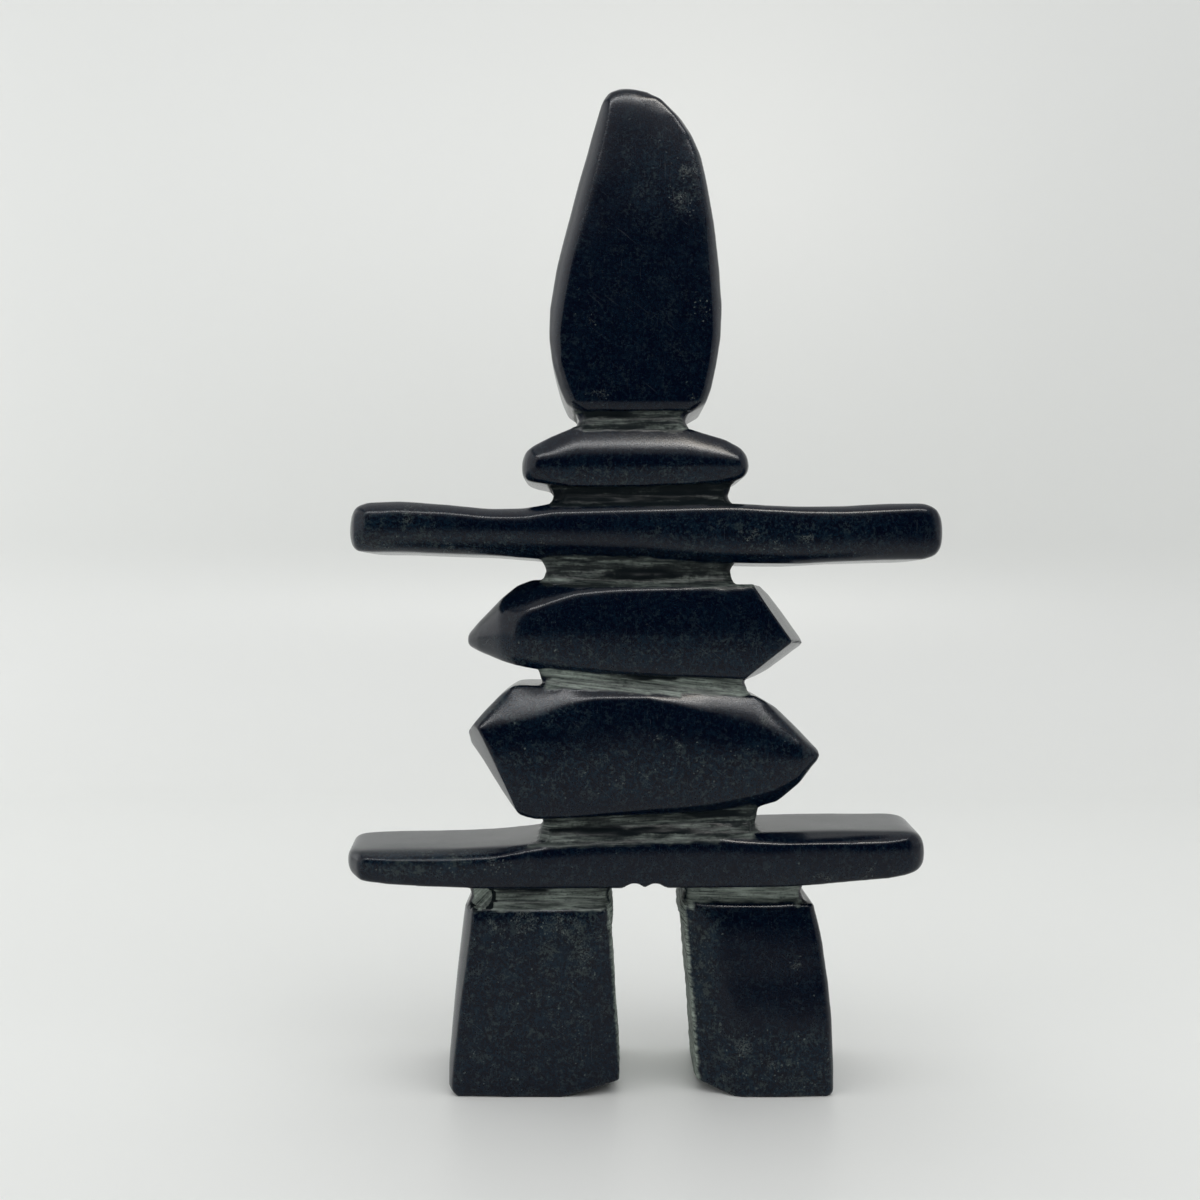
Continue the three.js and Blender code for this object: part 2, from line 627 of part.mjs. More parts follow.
const polishedStone = new THREE.MeshStandardMaterial({
  color: new THREE.Color().setRGB(...stoneColour),
  roughness: stoneRoughness,
  metalness: 0,
});

// The figure is centred over the origin and stands on the floor

const geometry = toGeometry(figure());
geometry.computeBoundingBox();
const middle = geometry.boundingBox.getCenter(new THREE.Vector3());
geometry.translate(-middle.x, -middle.y, -geometry.boundingBox.min.z);

const sculpture = new THREE.Mesh(geometry, polishedStone);
sculpture.name = 'inukshuk';

const group = new THREE.Group();
group.add(sculpture);

export default group;
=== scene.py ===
# %% [markdown]
# A standing figure carved from one slab of dark stone
#
# The figure looks like seven stones stacked by hand, but it is one block. A carver saws the outline
# from a slab, files deep grooves where the stones meet, and polishes everything that the file and
# the fingers can reach. Only the bottoms of the grooves and the inner faces of the legs stay rough.
# So the lesson has three parts: the form, with its filed and polished skin, then one material that
# is polished black stone in one place and rough grey-green stone in another, then floor and light.

# %% Load the fixed frame
import math

import bmesh
import bpy
import numpy as np
from mathutils import Matrix, Vector, bvhtree, kdtree, noise


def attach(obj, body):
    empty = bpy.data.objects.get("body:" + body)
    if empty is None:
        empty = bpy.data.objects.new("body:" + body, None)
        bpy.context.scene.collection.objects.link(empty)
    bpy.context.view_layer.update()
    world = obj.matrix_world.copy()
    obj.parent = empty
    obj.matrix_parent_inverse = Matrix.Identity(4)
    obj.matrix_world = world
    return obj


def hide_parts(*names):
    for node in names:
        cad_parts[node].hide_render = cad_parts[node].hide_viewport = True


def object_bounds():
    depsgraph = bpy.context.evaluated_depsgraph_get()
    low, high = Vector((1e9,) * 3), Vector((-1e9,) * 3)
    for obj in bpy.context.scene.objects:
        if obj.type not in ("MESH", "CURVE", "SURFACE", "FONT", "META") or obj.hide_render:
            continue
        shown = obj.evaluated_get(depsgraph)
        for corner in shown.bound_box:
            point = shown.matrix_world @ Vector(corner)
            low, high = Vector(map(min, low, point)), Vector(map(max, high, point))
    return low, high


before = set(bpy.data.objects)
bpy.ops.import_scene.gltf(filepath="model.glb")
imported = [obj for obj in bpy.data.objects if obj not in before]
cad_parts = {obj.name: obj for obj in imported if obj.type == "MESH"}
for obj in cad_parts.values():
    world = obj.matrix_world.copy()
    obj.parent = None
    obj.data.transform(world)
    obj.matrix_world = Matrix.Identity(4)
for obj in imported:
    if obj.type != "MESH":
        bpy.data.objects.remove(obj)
cad_box = [list(corner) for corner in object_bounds()]
print("CAD box in metres:", cad_box)

# %% [markdown]
# The camera first
#
# The photograph was taken from quite near, about 28 cm from the figure's front, with a level
# camera. That is why the top of the hip bar and the underside of the arm bar both show. A camera
# that stands further off with a longer lens would give the same width but neither of those faces.

# %% Camera
MM = 0.001
CAMERA_PLACE = Vector((-9.35, -301.0, 117.7)) * MM
LENS_MM = 36.06
SENSOR_MM = 36.0

camera_data = bpy.data.cameras.new("camera")
camera_data.lens = LENS_MM
camera_data.sensor_width = SENSOR_MM
camera = bpy.data.objects.new("camera", camera_data)
camera.location = CAMERA_PLACE
camera.rotation_euler = (math.radians(90), 0, 0)  # level, looking along +Y
bpy.context.scene.collection.objects.link(camera)
bpy.context.scene.camera = camera
bpy.context.scene.view_settings.view_transform = "Standard"  # deep blacks and white paper together
print("camera in metres:", tuple(camera.location), "lens in mm:", camera_data.lens)

# %% [markdown]
# From a planned block to a worked one
#
# The frame's model has the true outline and every large facet, in flat triangles. A carver's block
# has no flat triangles: broad faces run smoothly from end to end, and edges are rubbed round. To
# get there, the block is first covered with an even net of small squares, about half a millimetre
# wide. Where the plan has a sharp edge the net is smoothed only a little, and on the broad faces
# a lot, so that the edges stay and the joins between triangles go.


# %% The plan in one skin
SAME_PLACE = 0.001 * MM


def merged_copy(node):
    """A copy of a node's mesh with its loose triangles joined into one skin."""
    skin = bmesh.new()
    skin.from_mesh(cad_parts[node].data)
    bmesh.ops.remove_doubles(skin, verts=skin.verts, dist=SAME_PLACE)
    return skin


plan = merged_copy("inukshuk")
plan_area = sum(face.calc_area() for face in plan.faces) / MM ** 2
print("plan:", len(plan.faces), "faces, and its area in mm2:", round(plan_area))

# %% An even net over the block
NET_SIZE = 0.5 * MM


def object_from(skin, name):
    """An object with the shape of a bmesh, linked into the scene."""
    mesh = bpy.data.meshes.new(name)
    skin.to_mesh(mesh)
    made = bpy.data.objects.new(name, mesh)
    bpy.context.scene.collection.objects.link(made)
    return made


def settle(thing):
    """Turns what the modifiers show into the object's own mesh."""
    shown = thing.evaluated_get(bpy.context.evaluated_depsgraph_get())
    finished = bpy.data.meshes.new_from_object(shown)
    old = thing.data
    thing.modifiers.clear()
    thing.data = finished
    bpy.data.meshes.remove(old)


figure = object_from(plan, "carved_figure")
net = figure.modifiers.new("net", "REMESH")
net.mode = "VOXEL"
net.voxel_size = NET_SIZE
settle(figure)
print("points of the net:", len(figure.data.vertices))

# %% How far each point is from a sharp edge
SOFT_ANGLE = math.radians(17)
SHARP_ANGLE = math.radians(44)
EDGE_STEP = 0.4 * MM


def edge_tree(skin, least, most):
    """Points all along the edges that turn by such an angle, in a tree that finds the nearest."""
    places = []
    for edge in skin.edges:
        if len(edge.link_faces) == 2 and least < edge.calc_face_angle() <= most:
            start, end = (corner.co for corner in edge.verts)
            parts = max(1, math.ceil(edge.calc_length() / EDGE_STEP))
            places += [start.lerp(end, part / parts) for part in range(parts + 1)]
    tree = kdtree.KDTree(len(places))
    for index, place in enumerate(places):
        tree.insert(place, index)
    tree.balance()
    return tree


def points_of(mesh):
    """A mesh's points as rows of x, y and z."""
    flat = np.empty(len(mesh.vertices) * 3, np.float32)
    mesh.vertices.foreach_get("co", flat)
    return flat.reshape(-1, 3).astype(float)


def from_edges(tree, points):
    """How far each point is from the nearest place in the tree."""
    return np.array([tree.find(point)[2] for point in points])


sharp_edges = edge_tree(plan, SHARP_ANGLE, math.pi)
soft_edges = edge_tree(plan, SOFT_ANGLE, SHARP_ANGLE)
from_sharp = from_edges(sharp_edges, points_of(figure.data))
from_soft = from_edges(soft_edges, points_of(figure.data))
print("points within a millimetre of a sharp edge:", int((from_sharp < MM).sum()))


# %% Smooth the broad faces much, the edges little
def ramp(values, low, high):
    """0 below low, 1 above high, with a soft start and end."""
    share = np.clip((values - low) / (high - low), 0, 1)
    return share * share * (3 - 2 * share)


def weigh(thing, name, weights, levels=24):
    """A vertex group from an array of weights, in a few levels so that it is quick."""
    group = thing.vertex_groups.new(name=name)
    level = np.round(weights * levels).astype(int)
    for step in range(1, levels + 1):
        chosen = np.nonzero(level == step)[0].tolist()
        if chosen:
            group.add(chosen, step / levels, "REPLACE")


def smooth(thing, passes, weights=None):
    """Evens out the net, most where the weights are 1."""
    polish = thing.modifiers.new("polish", "SMOOTH")
    polish.factor = 0.5
    polish.iterations = passes
    if weights is not None:
        weigh(thing, "polish", weights)
        polish.vertex_group = "polish"
    settle(thing)
    thing.vertex_groups.clear()


print("the soft ramp in five steps:", ramp(np.linspace(0, 1, 5), 0, 1))

# %% Places that are rubbed round
ROUNDED = [  # places that the hand has rubbed round: x, z, half width and half height
    (-73.0, 55.5, 7.0, 9.0), (-73.0, 137.0, 5.0, 9.0), (72.0, 135.0, 5.0, 9.0),
    (69.0, 58.0, 6.0, 9.0), (-35.0, 111.0, 9.0, 8.0), (-25.0, 150.0, 6.0, 5.0),
    (22.0, 150.0, 6.0, 5.0),
]
ROUNDED_SHARE = 0.75  # how much of a broad face's smoothing such a place gets


def place_share(points, x, z, wide, tall):
    """1 round a place on the front, and 0 away from it."""
    across, up = points[:, 0] / MM - x, points[:, 2] / MM - z
    return np.exp(-(across / wide) ** 4 - (up / tall) ** 4)


rubbed = np.zeros(len(from_sharp))
for row in ROUNDED:
    rubbed = np.maximum(rubbed, ROUNDED_SHARE * place_share(points_of(figure.data), *row))
print("points rubbed round:", int((rubbed > 0.5 * ROUNDED_SHARE).sum()))

# %% Polish the block
BROAD_PASSES = 90
EDGE_PASSES = 3
SHARP_KEPT, SHARP_LEFT = 0.5 * MM, 2.6 * MM  # from a sharp edge, where smoothing begins and is full
SOFT_LEFT = 1.6 * MM  # from a soft edge, where smoothing is full
SOFT_SHARE = 0.20  # of the smoothing on a soft edge itself

near_sharp = ramp(from_sharp, SHARP_KEPT, SHARP_LEFT)
near_soft = SOFT_SHARE + (1 - SOFT_SHARE) * ramp(from_soft, 0.0, SOFT_LEFT)
weights = np.maximum(near_sharp * near_soft, rubbed)
smooth(figure, BROAD_PASSES, weights)
smooth(figure, EDGE_PASSES)
print("smoothed box in metres:", points_of(figure.data).min(0), points_of(figure.data).max(0))

# %% [markdown]
# Where the file has been
#
# Seven grooves part the stones. Their bottoms were cut with a flat rasp that was drawn from side to
# side, so they carry fine lines along the groove. The inner faces of the legs were filed from front
# to back. The plan knows these faces, so each point of the net asks how far the nearest one is. It
# keeps a number from 0, polished, to 1, filed, and a stroke, the way that the file went there.

# %% The filed faces of the plan
SHIFT_X = 1.95  # from the frame's middle line to the carver's, in millimetres
GROOVES = {  # left, right, low, high; rise along the groove; how pale its bottom is, lower where painted shade dims it, and how dark it is from dirt and painted shade
    "left leg": (-43.8, -7.7, 44.2, 51.0, 0.0, 0.85, 0.45),
    "right leg": (7.9, 39.1, 44.2, 51.5, 0.0, 0.92, 0.40),
    "hip": (-26.4, 27.4, 60.4, 69.0, 0.04, 0.68, 0.57),
    "torso": (-26.5, 24.9, 96.0, 102.0, -0.04, 0.90, 0.42),
    "arm": (-25.8, 21.7, 121.2, 129.5, -0.01, 0.76, 0.59),
    "neck stone": (-23.8, 20.9, 140.4, 147.0, 0.0, 0.50, 0.76),
    "head": (-17.8, 10.7, 158.8, 166.0, 0.0, 0.66, 0.60),
}
GAP_NUMBER = len(GROOVES)  # the space between the legs is counted after the grooves
NOT_FILED = -1  # as an index it picks the last value of a list
print("grooves:", list(GROOVES))

# %% Which faces of the plan are filed
NECK_FACE = 13.2  # from the middle of the slab to the front of a neck
NECK_SPARE = 0.8
SLAB_FACE = 16.4  # from the middle of the slab to just behind the front of a stone
SLOPE_END = -12.2  # y, where a slope goes under the stone
GAP_FACE = 16.5  # from the middle to just behind the edges of a leg's inner face
STEEP, LEVEL = 0.33, 0.975  # how far a face's normal rises on a steep wall and on a level top
FOOT_OF_NECK = 3.0  # the slope below a neck is filed this far up
GAP = (-10.5, 15.0, 49.9)  # left, right and top of the space between the legs
GAP_RISE = 0.2  # of the file strokes there, from the front to the back
SIDEWAYS = 0.8  # how far the normal of a leg's inner face points along x


def groove_of(face):
    """The number of the groove that a face of the plan is the bottom of."""
    x, y, z = face.calc_center_median() / MM
    wall = abs(face.normal.z) < STEEP and abs(y) < NECK_FACE + NECK_SPARE
    slope = STEEP <= face.normal.z < LEVEL and -SLAB_FACE < y < SLOPE_END
    for number, (left, right, low, high, rise, *_) in enumerate(GROOVES.values()):
        bottom = low + rise * x
        between_stones = left < x - SHIFT_X < right and bottom < z < high
        if between_stones and (wall or slope and z < bottom + FOOT_OF_NECK):
            return number
    left, right, top = GAP
    faces_gap = abs(face.normal.x) > SIDEWAYS and left < x < right and z < top
    return GAP_NUMBER if faces_gap and abs(y) < GAP_FACE else NOT_FILED


numbers = [groove_of(face) for face in plan.faces]
walls = plan.copy()
walls.faces.ensure_lookup_table()
unfiled = [walls.faces[i] for i, number in enumerate(numbers) if number == NOT_FILED]
bmesh.ops.delete(walls, geom=unfiled, context="FACES")
wall_tree = bvhtree.BVHTree.FromBMesh(walls)
wall_numbers = [number for number in numbers if number != NOT_FILED]
print("filed faces of the plan:", len(wall_numbers))


# %% How filed each point is
FAR = 4.0  # millimetres from the nearest filed face, where no file has been
SEED_STEP = 7.3  # between the noise of one seed and of the next
LEG_FRONT = -14.0  # y, just behind the polished front of a leg
EDGE_KEPT = 0.5  # a leg's front stays polished almost to its edge
UNEVEN = 0.5  # millimetres that the end of the filed stone wanders
FULLY_FILED, POLISHED = 0.15, 1.0  # millimetres from the filed face


def nearest_wall(points):
    """How far each point is from a filed face in millimetres, and the number of its groove."""
    found = [wall_tree.find_nearest(Vector(point), FAR * MM) for point in points]
    away = np.array([FAR if hit[0] is None else hit[3] / MM for hit in found])
    number = np.array([NOT_FILED if hit[0] is None else wall_numbers[hit[2]] for hit in found])
    return away, number


def stretched(points, scales, seed):
    """Smooth noise from -1 to 1, with features of about the scales in millimetres."""
    places = points / (np.array(scales) * MM) + seed * SEED_STEP
    return np.array([noise.noise(Vector(place)) for place in places])


def filed_share(points, away, number):
    """1 on a filed face, falling off unevenly a little way up the stones beside it."""
    uneven = UNEVEN * stretched(points, (3.2, 3.2, 0.9), 6)
    at_front = points[:, 1] < LEG_FRONT * MM
    beside_gap = ((number == GAP_NUMBER) & at_front) * EDGE_KEPT
    return 1 - ramp(away + uneven * (1 - beside_gap) + beside_gap, FULLY_FILED, POLISHED)


points = points_of(figure.data)
away, number = nearest_wall(points)
filed = filed_share(points, away, number)
print("filed points:", int((filed > 0.5).sum()), "of", len(points))

# %% Which way the file went
TORSO = list(GROOVES).index("torso")
TORSO_DIP = 0.11  # the groove between the torso stones falls to the right by this share
RISE = 4  # column of GROOVES
APART = 9.0  # between the noise of one groove and of the next
BURR = (-37.9, 46.5, 2.6)  # x, z and radius of the round file mark over the left leg
BURR_FACE = -11.0  # it is on the front only
BURR_ALONG, BURR_ACROSS = 0.5, 0.8  # how its lines are stretched


def from_burr(x, y, z):
    """How far points are from the middle of the round file mark, and very far behind it."""
    middle_x, middle_z, _ = BURR
    return np.where(y < BURR_FACE, np.hypot(x - middle_x, z - middle_z), 99)


def stroke_of(points, number):
    """Place along the file's stroke, across it, and the groove's number, in millimetres."""
    x, y, z = (points / MM).T
    rises = np.array([row[RISE] for row in GROOVES.values()] + [0.0, 0.0])[number]
    along, across = x + y, z - rises * x
    across = np.where(number == TORSO, z + TORSO_DIP * x, across)
    in_gap = number == GAP_NUMBER
    along = np.where(in_gap, y, along)
    across = np.where(in_gap, z - GAP_RISE * y, across)
    on_burr = from_burr(x, y, z) < BURR[2]  # there the file went aslant
    along = np.where(on_burr, BURR_ALONG * (x + z), along)
    across = np.where(on_burr, BURR_ACROSS * (z - x), across)
    return np.stack([along, across, number * APART], axis=1)


stroke = stroke_of(points, number) * MM
print("points on the round file mark:", int((from_burr(*(points / MM).T) < BURR[2]).sum()))


# %% Cut the rasp lines and the waves left by polishing
FOOT = 0.4 * MM  # the feet stay flat below this height
ALIKE = 1000  # a noise as long as this doesn't change along an axis


def normals_of(mesh):
    """Which way is out at each point of a mesh."""
    flat = np.empty(len(mesh.vertices) * 3, np.float32)
    mesh.vertex_normals.foreach_get("vector", flat)
    return flat.reshape(-1, 3).astype(float)


def put_points(mesh, points):
    """Moves a mesh's points to their new places."""
    mesh.vertices.foreach_set("co", points.astype(np.float32).ravel())
    mesh.update()


def carved(points, *rows):
    """A sum of noises, each with its scales, its seed and its height in millimetres."""
    return sum(stretched(points, scales, seed) * height for scales, seed, height in rows)


outward = normals_of(figure.data)
rasp = carved(stroke, ((26, 1.5, ALIKE), 1, 0.24), ((12, 0.75, ALIKE), 2, 0.12))
rough = carved(points, ((2.6, 2.2, 1.6), 3, 0.14))
polish_waves = carved(points, ((17, 17, 12), 4, 0.09), ((7, 7, 5), 5, 0.025))
lift = filed * (rasp + rough) + (1 - filed) * polish_waves
lift = np.where(points[:, 2] < FOOT, 0, lift)
points = points + outward * (lift * MM)[:, None]
low, high = (np.array(corner) for corner in cad_box)
points = np.clip(points, low, high)
put_points(figure.data, points)
print("deepest cut and highest rise in mm:", lift.min().round(2), lift.max().round(2))

# %% Fewer triangles where the faces are flat
TRIANGLES = 190_000

net_triangles = 2 * len(figure.data.polygons)
thin = figure.modifiers.new("thin", "DECIMATE")
thin.ratio = TRIANGLES / net_triangles
settle(figure)
figure.data.shade_smooth()
print("faces after thinning:", len(figure.data.polygons))

# %% [markdown]
# Notes for the material
#
# The figure has one material, but a pale patch, a worn place or a groove darkened by dirt and
# painted shade is at one place on it. A picture wrapped round the figure could hold them, and so can
# numbers kept with the points of its mesh. Numbers are used here, because they need no unwrapping
# and fit every side of the block.

# %% Pale mineral patches
FRONT = -6.0  # places on the front reach back to here
CLOUDS = [  # pale mineral patches on the front: x, z and radius in millimetres
    (9.4, 212.0, 5.0), (15.5, 186.5, 4.0), (26.0, 132.5, 5.0), (33.0, 130.0, 5.0), (40.0, 132.0, 4.0),
    (-22.5, 131.0, 3.0), (-18.0, 40.5, 7.0), (-28.0, 41.5, 6.0), (-14.0, 34.0, 5.0), (-35.0, 40.0, 4.0),
    (30.0, 89.5, 4.0), (5.0, 84.5, 2.5), (9.0, 84.0, 2.0), (20.0, 214.0, 4.0), (12.0, 220.0, 5.0),
    (25.0, 12.0, 6.0), (31.0, 8.0, 4.0), (44.0, 52.0, 4.0), (54.0, 53.0, 4.0), (-54.0, 138.0, 5.0),
    (-46.0, 130.5, 3.0), (-12.0, 184.0, 3.0), (-9.0, 167.0, 4.0), (12.5, 166.5, 2.5), (38.0, 30.0, 4.0),
    (-34.0, 55.0, 4.0),
]
CLOUD_SIZE = (3.4, 3.4, 3.4)  # of the bays and lobes in a patch's edge
CLOUD_WANDER = 1.6  # millimetres that the edge goes in and out
CLOUD_FALL = 1.4  # how soon a patch fades from its middle


def cloud_share(points):
    """1 in the middle of a pale patch, falling off with an uneven edge."""
    x, y, z = (points / MM).T
    x = x + CLOUD_WANDER * stretched(points, CLOUD_SIZE, 7)
    z = z + CLOUD_WANDER * stretched(points, CLOUD_SIZE, 8)
    share = np.zeros(len(points))
    for middle_x, middle_z, radius in CLOUDS:
        away = np.hypot(x - middle_x, z - middle_z) / radius
        share = np.maximum(share, np.exp(-away * away * CLOUD_FALL) * (y < FRONT))
    return share


print("pale patches:", len(CLOUDS))

# %% Worn places
WORN = [  # places with a coarse grain: x, z, half width, half height and strength
    (-50.0, 55.2, 15.0, 3.0, 1.0), (-26.0, 22.0, 26.0, 24.0, 0.55), (30.0, 24.0, 24.0, 24.0, 0.12),
    (32.0, 5.0, 24.0, 11.0, 0.75), (0.0, 77.0, 44.0, 7.5, 0.60), (0.0, 105.0, 44.0, 5.0, 0.55),
    (-2.0, 147.5, 24.0, 2.8, 0.60), (-50.0, 131.0, 30.0, 3.0, 0.60), (0.0, 53.0, 70.0, 3.0, 0.28),
    (28.0, 133.0, 34.0, 6.0, 0.45), (-56.0, 136.0, 12.0, 3.5, 0.6), (8.0, 219.0, 14.0, 11.0, 0.4),
    (15.0, 27.0, 4.0, 20.0, 1.15), (-17.0, 36.0, 9.0, 9.0, 1.0), (-35.0, 94.0, 7.0, 5.0, 0.9),
    (40.0, 88.0, 8.0, 6.0, 0.5), (-24.0, 91.0, 12.0, 4.0, 0.45), (-50.0, 59.5, 40.0, 1.2, 0.3),
]
WORN_EVERYWHERE = 0.12
WORN_BEHIND = 0.35  # the hidden side is worn more, and evenly


def worn_share(points):
    """How coarse the grain shows at each point."""
    y = points[:, 1] / MM
    share = np.full(len(points), WORN_EVERYWHERE)
    for *where, strength in WORN:
        share = np.maximum(share, strength * place_share(points, *where) * (y < FRONT))
    return np.maximum(share, WORN_BEHIND * ramp(y, 0, 12))


print("worn places:", len(WORN))

# %% How dark the grooves are, from dirt and painted shade
DIRT_AND_SHADE_PLACES = [  # dark places in the grooves, dirt and painted shade under the stones above them: x, z, half width and half height
    (-8.0, 162.6, 9.0, 1.7), (-21.5, 142.8, 3.5, 3.0), (-2.0, 142.0, 12.0, 1.3), (13.0, 141.6, 5.0, 1.0),
    (1.0, 124.0, 12.0, 2.0), (-24.5, 98.5, 3.0, 2.5), (4.0, 99.2, 7.0, 0.6), (18.0, 66.6, 9.0, 1.2),
    (-3.0, 62.5, 22.0, 1.0), (-28.0, 48.6, 8.0, 0.8), (10.5, 47.0, 2.0, 3.0),
]
DARK_PLACE = 0.96  # how dark the middle of such a place is
DARK_FALL = 0.6  # how soon it fades from its middle
SMEARED_ALONG, SMEARED_UP = 4.0, 0.8  # millimetres that its edge goes in and out
BURR_RING = 0.8  # the clean file mark has a dark ring of this width
BURR_DIRT, RING_DIRT = 0.1, 1.1
PALE, DIRT_AND_SHADE = 5, 6  # columns of GROOVES
GAP_TONES = {PALE: 0.9, DIRT_AND_SHADE: 0.2}
OFF_GROOVES = 0.5


def groove_tones(number, column):
    """One column of GROOVES for each point, with values for the gap and for the points off them."""
    tones = [row[column] for row in GROOVES.values()]
    return np.array(tones + [GAP_TONES[column], OFF_GROOVES])[number]


def dirt_and_shade_share(points, number):
    """How dark each point of the grooves is, from dirt and painted shade: the whole groove's level, and
    the dark places.
    """
    x, y, z = (points / MM).T
    away_from_burr = from_burr(x, y, z) - BURR[2]
    x = x + SMEARED_ALONG * stretched(points, (6, 6, 1.2), 9)
    z = z + SMEARED_UP * stretched(points, (5, 5, 2), 10)
    share = groove_tones(number, DIRT_AND_SHADE)
    # some of these places are painted shade where a stone overhangs the groove
    for middle_x, middle_z, wide, tall in DIRT_AND_SHADE_PLACES:
        away = ((x - middle_x) / wide) ** 2 + ((z - middle_z) / tall) ** 2
        share = np.maximum(share, DARK_PLACE * np.exp(-DARK_FALL * away) * (y < FRONT))
    share = np.where(away_from_burr < BURR_RING, RING_DIRT, share)
    return np.where(away_from_burr < 0, BURR_DIRT, share)


print("dirty places:", len(DIRT_AND_SHADE_PLACES))


# %% Keep the notes with the mesh
def note(mesh, name, values, kind="FLOAT"):
    """Keeps a number or a vector with each point of a mesh."""
    layer = mesh.attributes.new(name, kind, "POINT")
    key = "vector" if kind == "FLOAT_VECTOR" else "value"
    layer.data.foreach_set(key, values.astype(np.float32).ravel())


points = points_of(figure.data)
away, number = nearest_wall(points)
note(figure.data, "filed", filed_share(points, away, number))
note(figure.data, "stroke", stroke_of(points, number), "FLOAT_VECTOR")
note(figure.data, "pale", groove_tones(number, PALE))
# how dark each groove point is, from dirt and painted shade
note(figure.data, "dirt_and_shade", dirt_and_shade_share(points, number))
note(figure.data, "cloud", cloud_share(points))
note(figure.data, "worn", worn_share(points))
kept = [layer.name for layer in figure.data.attributes if layer.domain == "POINT"]
print("kept with each point:", kept)

# %% [markdown]
# A small language for materials
#
# Shader maths reads best as sums and products. Nodes can be added and linked one by one, but the
# sum that they stand for is then lost in a page of links. The class below wraps one output of a
# node, so that an expression such as 1 - mask adds the nodes that work it out.

# %% Wires and nodes
FIRST_COLOUR, SECOND_COLOUR, MIXED_COLOUR = 6, 7, 2  # sockets of a Mix node


class Wire:
    """One output of a node, for use in sums."""

    def __init__(self, tree, socket):
        self.tree = tree
        self.socket = socket

    def node(self, kind, settings=None, inputs=None, output=0):
        """Any node: its settings are set first, then the values or links of its sockets."""
        made = self.tree.nodes.new("ShaderNode" + kind)
        for name, value in (settings or {}).items():
            setattr(made, name, value)
        for name, value in (inputs or {}).items():
            if isinstance(value, Wire):
                self.tree.links.new(value.socket, made.inputs[name])
            else:
                made.inputs[name].default_value = value
        return Wire(self.tree, made.outputs[output])

    def math(self, operation, first, second):
        return self.node("Math", {"operation": operation}, {0: first, 1: second})

    def __add__(self, other):
        return self.math("ADD", self, other)

    def __sub__(self, other):
        return self.math("SUBTRACT", self, other)

    def __rsub__(self, other):
        return self.math("SUBTRACT", other, self)

    def __mul__(self, other):
        return self.math("MULTIPLY", self, other)

    __radd__ = __add__
    __rmul__ = __mul__

    def between(self, low, high):
        """0 below low and 1 above high, soft at both ends."""
        settings = {"interpolation_type": "SMOOTHSTEP"}
        inputs = {"Value": self, "From Min": low, "From Max": high}
        return self.node("MapRange", settings, inputs)

    def blend(self, dark, light):
        """The colour dark where this is 0 and light where it is 1."""
        inputs = {"Factor": self, FIRST_COLOUR: dark, SECOND_COLOUR: light}
        return self.node("Mix", {"data_type": "RGBA"}, inputs, output=MIXED_COLOUR)


print("sockets of a Mix node:", FIRST_COLOUR, "and", SECOND_COLOUR, "in,", MIXED_COLOUR, "out")


# %% Noise and dots
def scaled(place, scale, shift):
    """The same place in other units, and shifted, so that no two noises are alike."""
    inputs = {"Vector": place, "Scale": scale, "Location": (shift, shift, shift)}
    return place.node("Mapping", {}, inputs)


def noise_at(place, size, detail=2.0, roughness=0.5, stretch=(1, 1, 1), shift=0.0, unit=MM, turn=0.0):
    """Noise with features of about the size in millimetres, longer along stretched axes."""
    if turn:
        place = place.node("Mapping", {}, {"Vector": place, "Rotation": (0, math.radians(turn), 0)})
    where = scaled(place, tuple(1 / (size * unit * along) for along in stretch), shift)
    inputs = {"Vector": where, "Scale": 1.0, "Detail": detail, "Roughness": roughness}
    return place.node("TexNoise", {}, inputs)


def dots_at(place, size, share, shift=0.0):
    """Small irregular dots in cells of the size; the share says how many cells have one."""
    where = scaled(place, (1 / (size * MM),) * 3, shift)
    wander = noise_at(place, size * 0.5, 2.0, 0.6, shift=shift)
    where = where.node("VectorMath", {"operation": "ADD"}, {0: where, 1: wander})
    inside = 1 - where.node("TexVoronoi", {}, {"Vector": where, "Scale": 1.0}).between(0.18, 0.36)
    lot = where.node("TexVoronoi", {}, {"Vector": where, "Scale": 1.0}, output=1)
    return inside * (lot + share).between(0.95, 1.02)


print("noise of one millimetre is scaled by", round(1 / MM))

# %% [markdown]
# One stone, two finishes
#
# Polished, this stone is almost black with a cold blue-green cast, and small paler grains show only
# near the light. Filed, the same stone turns pale grey-green, because every scratch scatters light.
# The two are one material, mixed by the number that says where the file has been.


# %% The stone's colours
def rgb(red, green, blue):
    return (red, green, blue, 1.0)


DEEPEST = rgb(0.0001, 0.0014, 0.0075)  # polished and clean
WORN_STONE = rgb(0.0022, 0.0125, 0.0245)
GRAINS = rgb(0.024, 0.034, 0.036)
PITS = rgb(0.0002, 0.0008, 0.0028)
FLECKS = rgb(0.085, 0.105, 0.100)
HAZE = rgb(0.085, 0.100, 0.092)
SCRATCHES = rgb(0.026, 0.034, 0.042)
DARK_CUT = rgb(0.022, 0.031, 0.030)  # filed, between the lines that the file left
PALE_CUT = rgb(0.400, 0.465, 0.410)
DIM_AND_SHADED_CUT = rgb(0.012, 0.017, 0.018)  # filed, but dimmer: painted shade and darker stone at a groove's bottom
SMEARED_DIRT_AND_SHADE = rgb(0.004, 0.007, 0.009)  # smeared over the filed stone: dirt, and painted shade in the grooves
DRY_DIRT_AND_SHADE = rgb(0.006, 0.009, 0.011)  # packed into the corners: dirt, and painted shade
print("green of polished and of filed stone:", DEEPEST[1], PALE_CUT[1])

# %% What the stone's material reads
stone = bpy.data.materials.new("dark_stone")
stone.use_nodes = True
tree = stone.node_tree
shader = tree.nodes["Principled BSDF"]
start = Wire(tree, None)  # a wire from nowhere, to make the first nodes with


